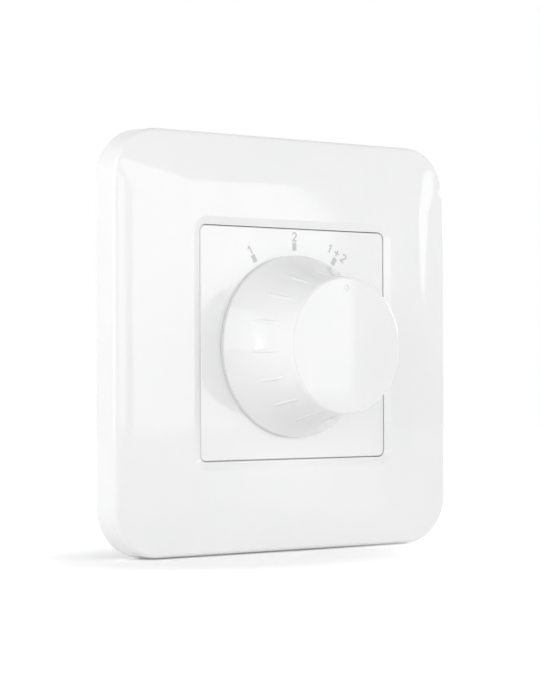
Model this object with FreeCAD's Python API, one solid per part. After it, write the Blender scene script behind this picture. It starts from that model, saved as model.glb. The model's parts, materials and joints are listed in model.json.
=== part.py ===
import FreeCAD
import Part
import math
import os

# Speaker selector switch for a flush wall box. A square cover frame and a square insert plate
# are clamped to a steel strap by one nut, and a push-on knob turns an open two-wafer rotary
# switch behind them, whose contacts lead to three rows of screw terminals on a board.
#
# Millimetres. X runs right and Z runs up as one faces the wall, and Y runs into the wall, so
# the front faces -Y. The origin is the centre of the box screws, on the wall's surface.

# Mounting strap, a steel plate on the wall's surface
screw_spacing = 60.0
slot_width = 4.4
slot_length = 8.0
strap_rim = 1.5
strap_corner = 5.0
strap_thickness = 1.2

# Outer frame
strap_room = 3.3
frame_wall = 2.0
frame_corner = 10.0
frame_draft = 0.3
edge_proud = 6.0
crest_proud = 8.4
edge_roll = 1.0
bevel_width = 1.55
bevel_drop = 0.6
ledge_width = 1.6
ledge_thickness = 1.5
collar_wall = 1.5
frame_rib_thickness = 1.2
frame_rib_spread = 15.0
frame_rib_lift = 0.3

# Insert plate
insert_size = 45.0
insert_gap = 0.15
insert_corner = 1.25
insert_thickness = 2.0
insert_edge = 0.3
skirt_wall = 1.4
skirt_depth = 2.6
skirt_gap = 0.15
skirt_inner_corner = 0.5
boss_radius = 8.5
boss_lift = 0.15
insert_rib_thickness = 1.2
insert_rib_depth = 2.0
axis_drop = 0.55

# Threaded bush with its toothed washer and nut
bush_radius = 5.0
bush_flange_radius = 7.5
bush_flange_thickness = 1.5
bush_past_nut = 0.6
nut_across_flats = 14.0
nut_thickness = 2.2
washer_radius = 7.6
washer_thickness = 0.5
washer_teeth = 8
washer_tooth = 1.2
hole_gap = 0.15
arc_margin = 0.001
thread_gap = 0.05

# Knob
knob_lift = 0.5
knob_height = 16.1
knob_base_radius = 17.8
knob_waist_radius = 14.25
knob_waist_height = 8.5
knob_top_radius = 13.1
knob_rim_height = 0.6
knob_rim_round = 0.25
knob_edge_round = 0.55
knob_dome = 0.12
knob_wall = 1.6
knob_roof = 2.0
hub_radius = 4.9
hub_slot_width = 0.8
hub_slot_depth = 4.5
hub_lift = 0.3
knob_rib_thickness = 1.2
knob_rib_drop = 2.0
grip_count = 16
grip_phase = 4.2
grip_from = 5.4
grip_to = 12.4
grip_round = 0.5
dimple_radius = 0.62
dimple_depth = 0.32
dimple_place = 10.9

# Spring band round the hub
band_thickness = 0.6
band_width = 2.4
band_seat = 0.3
band_opening = 50.0
band_inset = 0.8

# Shaft
shaft_radius = 3.0
running_gap = 0.05
shaft_flat = 1.5
shaft_tip_gap = 0.4
key_flats = 4.2
shaft_collar_radius = 4.4
shaft_collar_length = 0.8
shaft_tail = 0.8
ring_radius = 4.7
ring_thickness = 0.7
ring_groove = 0.5
ring_opening = 80.0
ring_slack = 0.1

# Index plate and detent
index_plate_thickness = 1.5
index_plate_margin = 4.0
index_plate_corner = 3.0
index_plate_rim = 0.5
lug_width = 2.4
lug_height = 1.2
lug_place = 12.0
wheel_radius = 9.0
wheel_thickness = 3.0
wheel_room = 0.4
position_angle = 30.0
position_count = 12
scallop_depth = 0.4
arm_width = 4.0
stop_gap = 0.1
ball_radius = 2.0
ball_gap = 0.1
housing_wall = 2.2
housing_floor = 1.7
housing_room = 0.4
housing_corner = 2.0
housing_flange_room = 0.2
housing_end_wall = 1.43
pocket_gap = 0.15
housing_skin = 0.6
spring_thickness = 0.35
spring_width = 3.4
spring_length = 19.0
spring_bow = 0.35
spring_seat = 0.05
spring_travel = 0.75
spring_heel = 1.0
spring_end_room = 0.6
spring_side_gap = 0.1
peg_radius = 0.9
peg_inset = 0.6
peg_short = 0.1

# Wafers, their contacts and rotors
front_spacer_length = 8.2
middle_spacer_length = 6.4
rear_spacer_length = 5.6
spacer_radius = 2.5
wafer_thickness = 1.6
rotor_radius = 6.2
rotor_thickness = 3.2
blade_thickness = 0.5
blade_bite = 1.6
ring_reach = 1.6
tab_reach = 1.4
tab_angle = 17.0
tab_room = 0.6
rivet_place = 1.9
wafer_edge = 1.9
ear_margin = 3.0
tie_offset = 0.9
leaf_thickness = 0.35
leaf_width = 2.2
leaf_gap = 0.05
leaf_overlap = 1.0
leaf_bend = 0.7
leaf_heel = 1.2
leaf_clear = 0.1
leaf_tip_gap = 0.4
rivet_length = 1.6
rivet_width = 0.9
rivet_stand = 0.25
tail_width = 1.7
tail_end = 0.9
wire_width = 0.8
wire_reach = 1.4
wire_stub = 0.7

# Tie screws
tie_radius = 1.5
tie_head_radius = 2.75
tie_head_thickness = 1.9
tie_slot_width = 0.7
tie_slot_depth = 0.9
tie_washer_radius = 3.0
tie_washer_thickness = 0.6
tie_tip = 0.3
tie_gap = 0.1

# Terminal board and screw terminals
board_thickness = 1.6
board_margin = 3.5
board_chamfer = 7.0
board_past_row = 0.5
poles = 4
pole_pitch = 5.08
terminal_depth = 8.2
terminal_height = 10.0
terminal_chamfer = 1.6
terminal_shift = 1.3
terminal_floor = 1.2
entry_width = 3.5
entry_height = 3.9
entry_depth = 6.6
well_radius = 1.9
clamp_gap = 0.1
clamp_wall = 0.5
clamp_length = 3.8
pin_width = 0.9
terminal_screw_head_radius = 1.75
terminal_screw_head = 1.8
terminal_screw_sunk = 0.8
terminal_screw_radius = 1.0
terminal_screw_bite = 1.0

INTO_WALL = FreeCAD.Vector(0, 1, 0)
TO_VIEWER = FreeCAD.Vector(0, -1, 0)
ORIGIN = FreeCAD.Vector(0, 0, 0)
QUARTER_TURN = 90.0
FULL_TURN = 360.0

# Square sizes, as half widths about the centre
strap_half = screw_spacing / 2 + slot_length / 2 + strap_rim
frame_half = strap_half + strap_room + frame_wall
opening_half = insert_size / 2 + insert_gap
opening_corner = insert_corner + insert_gap
crest_half = opening_half + bevel_width
ledge_half = opening_half - ledge_width
collar_half = opening_half + collar_wall
skirt_half = ledge_half - skirt_gap

# Planes along Y, from the room to the inside of the box
crest_front = -crest_proud
insert_front = crest_front + bevel_drop
insert_back = insert_front + insert_thickness
strap_front = -strap_thickness
washer_front = insert_front - washer_thickness
nut_front = washer_front - nut_thickness
bush_front = nut_front - bush_past_nut
knob_base = insert_front - knob_lift
knob_top = knob_base - knob_height
roof_inside = knob_top + knob_roof
front_ring_back = bush_front - ring_slack
front_ring_front = front_ring_back - ring_thickness
hub_end = front_ring_front - ring_slack - hub_lift
shaft_front = roof_inside + shaft_tip_gap
bush_back = index_plate_thickness + bush_flange_thickness
collar_front = bush_back + ring_slack
wheel_front = collar_front + shaft_collar_length
wheel_back = wheel_front + wheel_thickness
rear_ring_back = wheel_back + ring_slack + ring_thickness
ball_plane = (wheel_front + wheel_back) / 2
housing_back = ball_plane + ball_radius + ball_gap + housing_skin
front_wafer_plane = index_plate_thickness + front_spacer_length + wafer_thickness / 2
rear_wafer_plane = front_wafer_plane + wafer_thickness + middle_spacer_length
board_front = rear_wafer_plane + wafer_thickness / 2 + rear_spacer_length
board_back = board_front + board_thickness
shaft_back = rear_wafer_plane + rotor_thickness / 2 + shaft_tail

# Radii and places round the shaft
housing_bore = wheel_radius + wheel_room
ring_outer = rotor_radius + ring_reach
tab_outer = ring_outer + tab_reach
wafer_hole = tab_outer + tab_room
rivet_circle = wafer_hole + rivet_place
wafer_radius = rivet_circle + wafer_edge
wire_circle = wafer_radius + wire_reach
tie_by_wafer = wafer_radius + tie_offset
tie_by_housing = housing_bore + housing_wall + housing_room + spacer_radius
tie_place = max(tie_by_wafer, tie_by_housing)
ear_half = tie_radius + tie_gap + ear_margin / 2
housing_half_x = tie_place - spacer_radius - housing_room
ball_place = wheel_radius + ball_radius + ball_gap
spring_inner = ball_place + ball_radius + spring_seat
spring_end_inner = spring_inner - spring_bow
pocket_inner = spring_end_inner - pocket_gap
pocket_outer = spring_inner + spring_thickness + spring_travel
housing_half_z = pocket_outer + housing_end_wall
board_half_x = tie_place + board_margin
row_place = wire_circle + terminal_shift + terminal_depth / 2
board_half_z = row_place + terminal_depth / 2 + board_past_row
terminal_back = board_back + terminal_height

# Contact positions, in degrees from +X towards +Z. Each pole takes three neighbouring
# positions of a wafer: speaker 1, the common and speaker 2. The two poles of a wafer lie
# opposite each other, and the wafers use the positions that the other leaves free.
FRONT_POLES = (105.0, 285.0)
REAR_POLES = (15.0, 195.0)


def point(radius, angle, y):
    turn = math.radians(angle)
    return FreeCAD.Vector(radius * math.cos(turn), y, radius * math.sin(turn))


def rod(radius, y0, y1, x=0.0, z=0.0):
    """A round bar along Y."""
    return Part.makeCylinder(radius, y1 - y0, FreeCAD.Vector(x, y0, z), INTO_WALL)


def block(x0, x1, y0, y1, z0, z1):
    return Part.makeBox(x1 - x0, y1 - y0, z1 - z0, FreeCAD.Vector(x0, y0, z0))


def tube(outer, inner, y0, y1, x=0.0, z=0.0):
    return rod(outer, y0, y1, x, z).cut(rod(inner, y0, y1, x, z))


def rounded_outline(half_x, half_z, radius, y):
    """A rectangle with round corners in a plane of constant Y, as a closed wire."""
    edges = []
    corners = ((1, 1), (-1, 1), (-1, -1), (1, -1))
    arcs = []
    for index, (side_x, side_z) in enumerate(corners):
        centre = FreeCAD.Vector(side_x * (half_x - radius), y, side_z * (half_z - radius))
        arcs.append([centre + point(radius, 90.0 * index + step, 0.0) for step in (0, 45, 90)])
    for index, arc in enumerate(arcs):
        following = arcs[(index + 1) % 4]
        edges.append(Part.Arc(*arc).toShape())
        edges.append(Part.makeLine(arc[2], following[0]))
    return Part.Wire(edges)


def slab(half_x, half_z, radius, y0, y1):
    """A plate with round corners between two planes of constant Y."""
    outline = rounded_outline(half_x, half_z, radius, y0)
    return Part.Face(outline).extrude(FreeCAD.Vector(0, y1 - y0, 0))


def turned(shape, angle):
    """A copy turned about the shaft, from +X towards +Z."""
    copy = shape.copy()
    copy.rotate(ORIGIN, TO_VIEWER, angle)
    return copy


def spun(edges):
    """A solid of revolution about the shaft, from a closed profile drawn in x (radius) and y."""
    return Part.Face(Part.Wire(edges)).revolve(ORIGIN, INTO_WALL, 360)


def prism(points, width):
    """A profile drawn in x (radius) and y, made into a bar of this width across the radius."""
    corners = [FreeCAD.Vector(x, y, -width / 2) for x, y in points]
    face = Part.Face(Part.makePolygon(corners + corners[:1]))
    return face.extrude(FreeCAD.Vector(0, 0, width))


def sector(inner, outer, start, end, y0, y1):
    """A flat ring sector between two angles."""
    middle = (start + end) / 2
    edges = [
        Part.Arc(*[point(outer, angle, y0) for angle in (start, middle, end)]).toShape(),
        Part.makeLine(point(outer, end, y0), point(inner, end, y0)),
        Part.Arc(*[point(inner, angle, y0) for angle in (end, middle, start)]).toShape(),
        Part.makeLine(point(inner, start, y0), point(outer, start, y0)),
    ]
    return Part.Face(Part.Wire(edges)).extrude(FreeCAD.Vector(0, y1 - y0, 0))


def centred(shape):
    """The switch and the knob sit a little below the middle of the plate."""
    copy = shape.copy()
    copy.translate(FreeCAD.Vector(0, 0, -axis_drop))
    return copy


def dished_block(inset, drop):
    """The frame's pillowed outer form, or its hollow when set in from it by a wall."""
    foot = rounded_outline(frame_half - inset, frame_half - inset, frame_corner - inset, 0.0)
    rim = frame_half - inset - frame_draft
    rim_corner = frame_corner - inset - frame_draft
    edge = drop - edge_proud
    sides = Part.makeLoft([foot, rounded_outline(rim, rim, rim_corner, edge)], True, True)
    sections = []
    steps = 4
    for step in range(steps + 1):
        share = step / steps
        half = rim + (crest_half - rim) * share
        corner = rim_corner + (opening_corner + bevel_width - rim_corner) * share
        rise = (crest_proud - edge_proud) * (1 - (1 - share) ** 2)
        sections.append(rounded_outline(half, half, corner, edge - rise))
    return sides.fuse(Part.makeLoft(sections, True, False)).removeSplitter()


def outer_frame():
    shell = dished_block(0.0, 0.0)
    rim_edges = [
        edge
        for edge in shell.Edges
        if all(abs(vertex.Y + edge_proud) < 1e-4 for vertex in edge.Vertexes)
    ]
    shell = shell.makeFillet(edge_roll, rim_edges)
    hollow = dished_block(frame_wall, frame_wall)
    body = shell.cut(hollow)
    collar = slab(collar_half, collar_half, opening_corner + collar_wall, strap_front, crest_front)
    ribs = []
    for side in (-1, 1):
        low = side * frame_rib_spread - frame_rib_thickness / 2
        high = side * frame_rib_spread + frame_rib_thickness / 2
        back = strap_front - frame_rib_lift
        ribs.append(block(low, high, crest_front, back, -frame_half, frame_half))
        ribs.append(block(-frame_half, frame_half, crest_front, back, low, high))
    inside = collar.multiFuse(ribs).common(shell)
    body = body.fuse(inside)
    seat = slab(opening_half, opening_half, opening_corner, crest_front - 1, insert_back)
    ledge_back = insert_back + ledge_thickness
    way = slab(ledge_half, ledge_half, opening_corner, crest_front, strap_front)
    room = slab(opening_half, opening_half, opening_corner, ledge_back, strap_front)
    bevel = Part.makeLoft(
        [
            rounded_outline(crest_half, crest_half, opening_corner + bevel_width, crest_front),
            rounded_outline(opening_half, opening_half, opening_corner, insert_front),
        ],
        True,
        True,
    )
    return body.cut(seat).cut(way).cut(room).cut(bevel).removeSplitter()


def insert_plate():
    half = insert_size / 2
    plate = slab(half, half, insert_corner, insert_front, insert_back)
    front_edges = [
        edge
        for edge in plate.Edges
        if all(abs(vertex.Y - insert_front) < 1e-6 for vertex in edge.Vertexes)
    ]
    plate = plate.makeFillet(insert_edge, front_edges)
    skirt_back = insert_back + skirt_depth
    skirt_corner = opening_corner - skirt_gap
    inner_half = skirt_half - skirt_wall
    skirt = slab(skirt_half, skirt_half, skirt_corner, insert_back, skirt_back)
    skirt = skirt.cut(slab(inner_half, inner_half, skirt_inner_corner, insert_back, skirt_back))
    boss = rod(boss_radius, insert_back, strap_front - boss_lift, z=-axis_drop)
    ribs = []
    rib_back = insert_back + insert_rib_depth
    half_rib = insert_rib_thickness / 2
    rib = block(0, 2 * skirt_half, insert_back, rib_back, -half_rib, half_rib)
    room = slab(skirt_half, skirt_half, skirt_corner, insert_back, rib_back)
    for corner in range(4):
        ribs.append(turned(rib, 45 + 90 * corner).common(room))
    solid = plate.multiFuse([skirt, boss] + ribs)
    bore = rod(bush_radius + hole_gap, insert_front - 1, 0, z=-axis_drop)
    return solid.cut(bore).removeSplitter()


def mounting_strap():
    plate = slab(strap_half, strap_half, strap_corner, strap_front, 0)
    half_straight = (slot_length - slot_width) / 2
    slot = slab(half_straight + slot_width / 2, slot_width / 2, slot_width / 2 - arc_margin, strap_front, 0)
    slot.translate(FreeCAD.Vector(screw_spacing / 2, 0, 0))
    for quarter in range(4):
        plate = plate.cut(turned(slot, 90 * quarter))
    plate = plate.cut(centred(rod(bush_radius + hole_gap, strap_front, 0)))
    half_lug = lug_width / 2 + hole_gap
    low = lug_place - lug_height / 2 - hole_gap
    high = lug_place + lug_height / 2 + hole_gap
    return plate.cut(centred(block(-half_lug, half_lug, strap_front, 0, low, high)))


def threaded_bush():
    barrel = rod(bush_radius, bush_front, bush_back)
    flange = rod(bush_flange_radius, index_plate_thickness, bush_back)
    return barrel.fuse(flange).cut(rod(shaft_radius + running_gap, bush_front, bush_back))


def lock_washer():
    washer = tube(washer_radius, bush_radius + thread_gap, washer_front, insert_front)
    notch_width = math.pi * washer_radius / washer_teeth
    notch = block(
        washer_radius - washer_tooth,
        washer_radius + 1,
        washer_front,
        insert_front,
        -notch_width / 2,
        notch_width / 2,
    )
    notches = [turned(notch, 360 / washer_teeth * tooth) for tooth in range(washer_teeth)]
    return washer.cut(Part.makeCompound(notches))


def bush_nut():
    across_corners = nut_across_flats / math.cos(math.pi / 6)
    corners = [point(across_corners / 2, 60 * corner, nut_front) for corner in range(7)]
    nut = Part.Face(Part.makePolygon(corners)).extrude(FreeCAD.Vector(0, nut_thickness, 0))
    crown = Part.makeCone(
        nut_across_flats / 2,
        nut_across_flats / 2 + nut_thickness / math.tan(math.radians(30)),
        nut_thickness,
        FreeCAD.Vector(0, nut_front, 0),
        INTO_WALL,
    )
    return nut.common(crown).cut(rod(bush_radius + thread_gap, nut_front, washer_front))


def waist_arc(inset):
    """The knob's concave flank, from under the top edge down to the rim."""
    top = FreeCAD.Vector(knob_top_radius - inset, knob_top + knob_dome + knob_edge_round, 0)
    waist = FreeCAD.Vector(knob_waist_radius - inset, knob_base - knob_waist_height, 0)
    base = FreeCAD.Vector(knob_base_radius - inset, knob_base - knob_rim_height, 0)
    return Part.Arc(top, waist, base)


def flank_radius(height):
    """The flank's radius at this height above the knob's base."""
    flank = waist_arc(0.0)
    level = Part.makeLine(
        FreeCAD.Vector(0, knob_base - height, 0),
        FreeCAD.Vector(2 * knob_base_radius, knob_base - height, 0),
    )
    return flank.toShape().distToShape(level)[1][0][0].x


def knob_form():
    """The knob's outer form without its hollow, grips or dimple."""
    crown = FreeCAD.Vector(0, knob_top, 0)
    flat_radius = knob_top_radius - knob_edge_round
    brow = FreeCAD.Vector(flat_radius, knob_top + knob_dome, 0)
    dome = Part.Arc(
        crown,
        FreeCAD.Vector(flat_radius / 2, knob_top + knob_dome / 4, 0),
        brow,
    )
    flank = waist_arc(0.0)
    turn = knob_edge_round * math.sqrt(0.5)
    edge = Part.Arc(
        brow,
        FreeCAD.Vector(flat_radius + turn, knob_top + knob_dome + knob_edge_round - turn, 0),
        flank.StartPoint,
    )
    rim_top = flank.EndPoint
    rim_low = FreeCAD.Vector(knob_base_radius, knob_base - knob_rim_round, 0)
    rim_in = FreeCAD.Vector(knob_base_radius - knob_rim_round, knob_base, 0)
    foot = FreeCAD.Vector(0, knob_base, 0)
    profile = [
        dome.toShape(),
        edge.toShape(),
        flank.toShape(),
        Part.makeLine(rim_top, rim_low),
        Part.makeLine(rim_low, rim_in),
        Part.makeLine(rim_in, foot),
        Part.makeLine(foot, crown),
    ]
    return spun(profile)


def knob_hollow():
    """The space inside the knob's wall, with the hub standing in it."""
    flank = waist_arc(knob_wall)
    roof = FreeCAD.Vector(flank.StartPoint.x, roof_inside, 0)
    foot = FreeCAD.Vector(flank.EndPoint.x, knob_base, 0)
    start = flank.toShape().distToShape(
        Part.makeLine(FreeCAD.Vector(0, roof_inside, 0), FreeCAD.Vector(knob_base_radius, roof_inside, 0))
    )[1][0][0]
    bend = FreeCAD.Vector(knob_waist_radius - knob_wall, knob_base - knob_waist_height, 0)
    profile = [
        Part.makeLine(FreeCAD.Vector(hub_radius, roof_inside, 0), start),
        Part.Arc(start, bend, flank.EndPoint).toShape(),
        Part.makeLine(flank.EndPoint, foot),
        Part.makeLine(foot, FreeCAD.Vector(0, knob_base, 0)),
        Part.makeLine(FreeCAD.Vector(0, knob_base, 0), FreeCAD.Vector(0, hub_end, 0)),
        Part.makeLine(FreeCAD.Vector(0, hub_end, 0), FreeCAD.Vector(hub_radius, hub_end, 0)),
        Part.makeLine(
            FreeCAD.Vector(hub_radius, hub_end, 0), FreeCAD.Vector(hub_radius, roof_inside, 0)
        ),
    ]
    return spun(profile)


def flatted_bar(radius, flat, y0, y1):
    """A round bar along the shaft with one flat underneath."""
    reach = radius + 1
    return rod(radius, y0, y1).cut(block(-reach, reach, y0, y1, -reach, flat - radius))


def knob():
    form = knob_form()
    hollow = knob_hollow()
    body = form.cut(hollow)
    half_rib = knob_rib_thickness / 2
    rib_back = hub_end - knob_rib_drop
    ribs = [
        turned(block(hub_radius / 2, knob_base_radius, knob_top, rib_back, -half_rib, half_rib), angle)
        for angle in (0, 90, 180, 270)
    ]
    ribs = [rib.common(hollow) for rib in ribs]
    low = FreeCAD.Vector(flank_radius(grip_from), knob_base - grip_from, 0)
    high = FreeCAD.Vector(flank_radius(grip_to), knob_base - grip_to, 0)
    along = high.sub(low).normalize()
    inward = along.cross(FreeCAD.Vector(0, 0, 1)).normalize()
    if inward.x > 0:
        inward = inward.negative()
    foot = low + inward * grip_round
    grip = Part.makeCylinder(grip_round, high.sub(low).Length, foot, along)
    pitch = 360 / grip_count
    grips = [turned(grip, 90 + grip_phase + pitch * index) for index in range(grip_count)]
    body = body.multiFuse(ribs + grips)
    bore = flatted_bar(
        shaft_radius + running_gap,
        shaft_flat,
        shaft_front - shaft_tip_gap / 2,
        hub_end,
    )
    slot_end = hub_end - hub_slot_depth
    half_slot = hub_slot_width / 2
    slot = block(-hub_radius - 1, hub_radius + 1, slot_end, hub_end, -half_slot, half_slot)
    seat_back = hub_end - band_inset
    seat = tube(hub_radius + 1, hub_radius - band_seat, seat_back - band_width, seat_back)
    ball = (dimple_radius**2 + dimple_depth**2) / (2 * dimple_depth)
    dimple_front = knob_top + knob_dome * (dimple_place / knob_top_radius) ** 2
    dimple = Part.makeSphere(ball, FreeCAD.Vector(0, dimple_front + dimple_depth - ball, dimple_place))
    return body.cut(bore).cut(slot).cut(seat).cut(dimple).removeSplitter()


def knob_spring():
    seat_back = hub_end - band_inset
    inner = hub_radius - band_seat
    half = band_opening / 2
    return sector(
        inner,
        inner + band_thickness,
        QUARTER_TURN + half,
        QUARTER_TURN + FULL_TURN - half,
        seat_back - band_width,
        seat_back,
    )


def keyed_bar(gap, y0, y1):
    """The shaft's rear section, with two flats that drive the wheel and the rotors."""
    half = key_flats / 2 + gap
    reach = shaft_radius + 1
    return rod(shaft_radius + gap, y0, y1).common(block(-half, half, y0, y1, -reach, reach))


def shaft():
    parts = [
        flatted_bar(shaft_radius, shaft_flat, shaft_front, hub_end),
        rod(shaft_radius, hub_end, collar_front),
        rod(shaft_collar_radius, collar_front, wheel_front),
        keyed_bar(0.0, wheel_front, shaft_back),
    ]
    bar = parts[0].multiFuse(parts[1:])
    for back in (front_ring_back, rear_ring_back):
        front = back - ring_thickness
        bar = bar.cut(tube(shaft_radius + 1, shaft_radius - ring_groove, front, back))
    return bar.removeSplitter()


def shaft_rings():
    """Open retaining rings: one ahead of the bush and one behind the index wheel."""
    half = ring_opening / 2
    inner = shaft_radius - ring_groove + running_gap
    rings = []
    for back in (front_ring_back, rear_ring_back):
        front = back - ring_thickness + running_gap
        start = QUARTER_TURN + half
        end = QUARTER_TURN + FULL_TURN - half
        rings.append(sector(inner, ring_radius, start, end, front, back - running_gap))
    return Part.makeCompound(rings)


def index_plate():
    half_x = tie_place + index_plate_margin
    half_z = housing_half_z + index_plate_rim
    plate = slab(half_x, half_z, index_plate_corner, 0, index_plate_thickness)
    low = lug_place - lug_height / 2
    high = lug_place + lug_height / 2
    lug = block(-lug_width / 2, lug_width / 2, strap_front, 0, low, high)
    plate = plate.fuse(lug)
    holes = [rod(bush_radius + thread_gap, 0, index_plate_thickness)]
    for side in (-1, 1):
        holes.append(rod(tie_radius + thread_gap, 0, index_plate_thickness, x=side * tie_place))
    for x, z in peg_places():
        holes.append(rod(peg_radius + thread_gap, 0, index_plate_thickness, x=x, z=z))
    return plate.cut(Part.makeCompound(holes))


def peg_places():
    place_x = housing_half_x - housing_wall / 2 - peg_radius / 2
    place_z = pocket_inner - peg_radius - peg_inset
    return [(x, z) for x in (-place_x, place_x) for z in (-place_z, place_z)]


def housing_cavity(front, back):
    """The bore for the wheel and the window that its stop arm swings in."""
    bore = rod(housing_bore, front, back)
    half = arm_width / 2 + stop_gap
    reach = housing_half_x + 2
    arm = block(0, reach, front, back, -half, half)
    middle = 180.0
    ends = [turned(arm, middle - position_angle), turned(arm, middle + position_angle)]
    swing = sector(
        wheel_radius / 2,
        reach,
        middle - position_angle,
        middle + position_angle,
        front,
        back,
    )
    return bore.multiFuse(ends + [swing])


def detent_housing():
    floor_back = index_plate_thickness + housing_floor
    body = slab(housing_half_x, housing_half_z, housing_corner, index_plate_thickness, housing_back)
    body = body.cut(rod(bush_flange_radius + housing_flange_room, index_plate_thickness, floor_back))
    body = body.cut(housing_cavity(floor_back, housing_back))
    length = spring_length / 2 + spring_end_room
    spring_front = ball_plane - spring_width / 2 - spring_side_gap
    heel_outer = spring_end_inner + spring_thickness + spring_seat
    for side in (-1, 1):
        low, high = sorted((side * pocket_inner, side * pocket_outer))
        pocket = block(-length, length, spring_front, housing_back, low, high)
        low, high = sorted((side * heel_outer, side * pocket_outer))
        for end in (-1, 1):
            heel_low, heel_high = sorted((end * length, end * (length - spring_heel)))
            heel = block(heel_low, heel_high, spring_front, housing_back, low, high)
            pocket = pocket.cut(heel)
        body = body.cut(pocket)
    well = Part.makeCylinder(
        ball_radius + ball_gap,
        2 * (housing_half_z - housing_end_wall),
        FreeCAD.Vector(0, ball_plane, housing_end_wall - housing_half_z),
        FreeCAD.Vector(0, 0, 1),
    )
    body = body.cut(well)
    pegs = [rod(peg_radius, peg_short, index_plate_thickness, x=x, z=z) for x, z in peg_places()]
    return body.multiFuse(pegs).removeSplitter()


def detent_balls():
    balls = [
        Part.makeSphere(ball_radius, FreeCAD.Vector(0, ball_plane, side * ball_place))
        for side in (-1, 1)
    ]
    return Part.makeCompound(balls)


def detent_springs():
    """Two leaf springs, bowed over the balls, with their ends under the housing's heels."""
    half = spring_length / 2
    springs = []
    for side in (-1, 1):
        front = ball_plane - spring_width / 2
        inner = [(-half, spring_end_inner), (0, spring_inner), (half, spring_end_inner)]
        outer = [(x, z + spring_thickness) for x, z in reversed(inner)]
        curves = [
            Part.Arc(*[FreeCAD.Vector(x, front, side * z) for x, z in line]).toShape()
            for line in (inner, outer)
        ]
        ends = []
        for first, second in ((inner[2], outer[0]), (outer[2], inner[0])):
            ends.append(
                Part.makeLine(
                    FreeCAD.Vector(first[0], front, side * first[1]),
                    FreeCAD.Vector(second[0], front, side * second[1]),
                )
            )
        outline = Part.Wire([curves[0], ends[0], curves[1], ends[1]])
        springs.append(Part.Face(outline).extrude(FreeCAD.Vector(0, spring_width, 0)))
    return Part.makeCompound(springs)


def star_wheel():
    wheel = rod(wheel_radius, wheel_front, wheel_back)
    cut_radius = ball_radius + ball_gap
    cut_place = wheel_radius - scallop_depth + cut_radius
    scallop = rod(cut_radius, wheel_front, wheel_back, x=cut_place)
    pitch = 360 / position_count
    scallops = [turned(scallop, 90 + pitch * index) for index in range(position_count)]
    wheel = wheel.cut(Part.makeCompound(scallops))
    reach = housing_half_x - wheel_room
    arm = block(-reach, -shaft_radius - 1, wheel_front, wheel_back, -arm_width / 2, arm_width / 2)
    return wheel.fuse(arm).cut(keyed_bar(running_gap, wheel_front, wheel_back)).removeSplitter()


def spacers(y0, y1):
    tubes = [
        tube(spacer_radius, tie_radius + tie_gap, y0, y1, x=side * tie_place) for side in (-1, 1)
    ]
    return Part.makeCompound(tubes)


def clip_angles(poles_at):
    """Each pole's three positions: speaker 1, common and speaker 2."""
    angles = []
    for first in poles_at:
        angles += [first, first - position_angle, first - 2 * position_angle]
    return angles


def square_bar(width, y0, y1, x=0.0, z=0.0):
    """A square bar along Y."""
    half = width / 2
    return block(x - half, x + half, y0, y1, z - half, z + half)


def octagon_bar(radius, y0, y1, x=0.0, z=0.0):
    """An eight-sided bar along Y, for threads too small for a round one."""
    corners = [point(radius, 45 * corner, y0) + FreeCAD.Vector(x, 0, z) for corner in range(8)]
    return Part.Face(Part.makePolygon(corners + corners[:1])).extrude(FreeCAD.Vector(0, y1 - y0, 0))


def rivet_bar(gap, y0, y1):
    """A flat rivet's section, or its hole when grown by a gap, on the +X side."""
    half_length = rivet_length / 2 + gap
    half_width = rivet_width / 2 + gap
    low = rivet_circle - half_length
    high = rivet_circle + half_length
    return block(low, high, y0, y1, -half_width, half_width)


def wafer(plane):
    front = plane - wafer_thickness / 2
    back = plane + wafer_thickness / 2
    disc = rod(wafer_radius, front, back)
    ears = slab(tie_place + ear_half, ear_half, ear_half - arc_margin, front, back)
    body = disc.fuse(ears)
    holes = [rod(wafer_hole, front, back)]
    for side in (-1, 1):
        holes.append(rod(tie_radius + tie_gap, front, back, x=side * tie_place))
    for index in range(position_count):
        angle = FRONT_POLES[0] + position_angle * index
        holes.append(turned(rivet_bar(thread_gap, front, back), angle))
    return body.cut(Part.makeCompound(holes)).removeSplitter()


def leaf(plane, side, tip):
    """One contact leaf, flat on the wafer's face and bent down to the blade's plane."""
    face = wafer_thickness / 2
    near = blade_thickness / 2 + leaf_gap
    heel = rivet_circle + leaf_heel
    bend = wafer_hole - leaf_clear
    inner = [(heel, face), (bend, face), (bend - leaf_bend, near), (tip, near)]
    outer = [(r, y + leaf_thickness) for r, y in reversed(inner)]
    profile = [(r, plane + side * y) for r, y in inner + outer]
    return prism(profile, leaf_width)


def contacts(plane, poles_at):
    """Two leaves at each position in use, the rear one with a solder tail for its wire."""
    short_tip = ring_outer + leaf_tip_gap
    long_tip = rotor_radius + leaf_tip_gap
    solids = []
    face = wafer_thickness / 2
    reach = wafer_thickness
    bore = rivet_bar(thread_gap, plane - reach, plane + reach)
    eye = square_bar(wire_width + 2 * thread_gap, plane - reach, plane + reach, x=wire_circle)
    for index, angle in enumerate(clip_angles(poles_at)):
        tip = long_tip if index % 3 == 1 else short_tip
        front_leaf = leaf(plane, -1, tip).cut(bore)
        rear_leaf = leaf(plane, 1, tip)
        tail = block(
            rivet_circle,
            wire_circle + tail_end,
            plane + face,
            plane + face + leaf_thickness,
            -tail_width / 2,
            tail_width / 2,
        )
        rear_leaf = rear_leaf.fuse(tail).cut(bore).cut(eye).removeSplitter()
        solids += [turned(front_leaf, angle), turned(rear_leaf, angle)]
    return Part.makeCompound(solids)


def rivets(plane, poles_at):
    """Flat rivets that hold each pair of leaves to the wafer."""
    stack = wafer_thickness / 2 + leaf_thickness + rivet_stand
    rivet = rivet_bar(0.0, plane - stack, plane + stack)
    return Part.makeCompound([turned(rivet, angle) for angle in clip_angles(poles_at)])


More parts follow.
